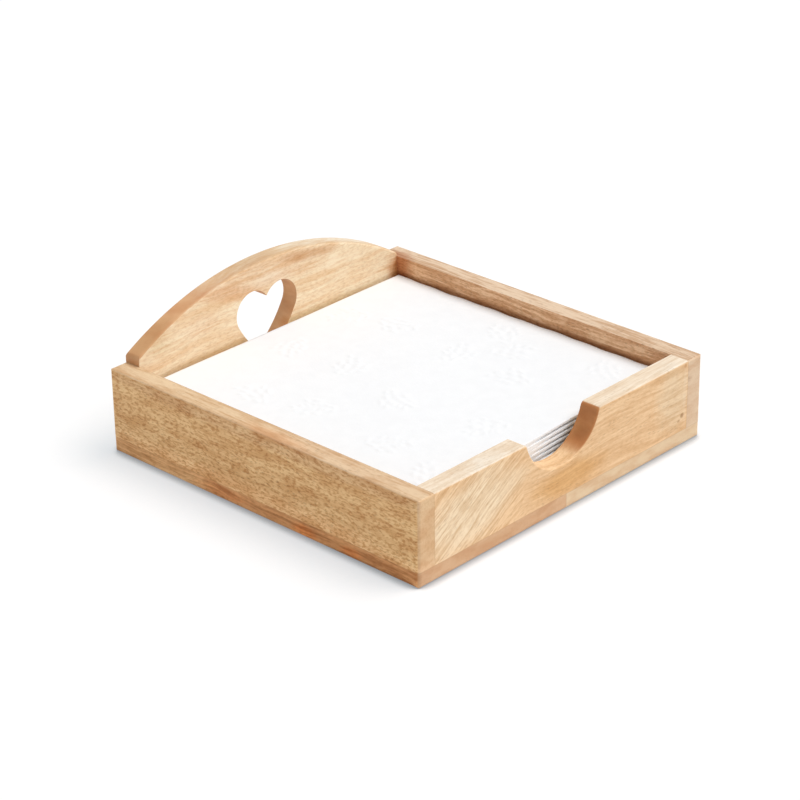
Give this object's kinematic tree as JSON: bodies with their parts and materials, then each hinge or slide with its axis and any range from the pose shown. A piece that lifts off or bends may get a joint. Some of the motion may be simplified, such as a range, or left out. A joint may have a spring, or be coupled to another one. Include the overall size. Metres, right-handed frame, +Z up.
{
  "type": "napkin holder",
  "caption": "Square open wooden tray holding folded paper napkins, with an arched back board pierced by a heart and a round thumb notch in the low front wall.",
  "frame": {"origin": "centre of the footprint, on the underside of the base", "axes": "+X to the right seen from the notched front wall, +Y to the arched back board, +Z up"},
  "size_m": [0.19, 0.19, 0.0685],
  "materials": {
    "base_wood": "sanded, satin",
    "side_wood": "sanded, satin",
    "front_wood": "sanded, satin",
    "back_wood": "sanded, satin",
    "wood_filler": "sanded, satin",
    "brad_steel": "plain",
    "napkin_paper": "matt, embossed"
  },
  "bodies": {
    "holder": {"base_left_board": "base_wood", "base_right_board": "base_wood", "left_side_wall": "side_wood", "right_side_wall": "side_wood", "front_wall": "front_wood", "back_board": "back_wood", "wall_brads": "brad_steel", "filler_spots": "wood_filler", "base_brads": "brad_steel"},
    "napkin_stack": {"napkin_01": "napkin_paper", "napkin_02": "napkin_paper", "napkin_03": "napkin_paper", "napkin_04": "napkin_paper", "napkin_05": "napkin_paper", "napkin_06": "napkin_paper", "napkin_07": "napkin_paper", "napkin_08": "napkin_paper", "napkin_09": "napkin_paper", "napkin_10": "napkin_paper", "napkin_11": "napkin_paper", "napkin_12": "napkin_paper", "napkin_13": "napkin_paper", "napkin_14": "napkin_paper", "napkin_15": "napkin_paper", "napkin_16": "napkin_paper", "napkin_17": "napkin_paper", "napkin_18": "napkin_paper", "napkin_19": "napkin_paper"},
    "top_napkin": {"napkin_20": "napkin_paper"}
  },
  "joints": [
    {"name": "stack_lift", "type": "slide", "parent": "holder", "child": "napkin_stack", "axis": [0, 0, 1], "range_m": [0, 0.065]},
    {"name": "top_lift", "type": "slide", "parent": "napkin_stack", "child": "top_napkin", "axis": [0, 0, 1], "range_m": [0, 0.045]}
  ]
}
